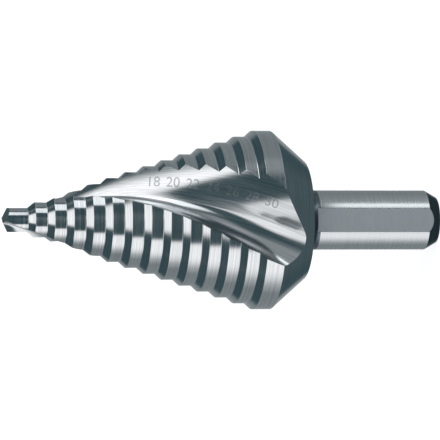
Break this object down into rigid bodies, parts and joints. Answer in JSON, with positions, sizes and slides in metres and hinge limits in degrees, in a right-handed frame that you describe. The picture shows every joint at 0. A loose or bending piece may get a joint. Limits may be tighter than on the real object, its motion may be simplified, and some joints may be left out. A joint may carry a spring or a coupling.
{
  "type": "step drill",
  "caption": "Stepped drill for sheet metal with spiral flutes, a relieved point and a straight shank ground with flats for chuck jaws.",
  "frame": {"origin": "middle of the shank's end face, on the drill's axis", "axes": "+Z along the axis of rotation, towards the point; -Y is the outward normal of the shank's first flat"},
  "size_m": [0.03, 0.0282, 0.0739],
  "materials": {
    "ground_steel": "satin"
  },
  "bodies": {
    "root": {"drill_body": "ground_steel"}
  },
  "joints": []
}
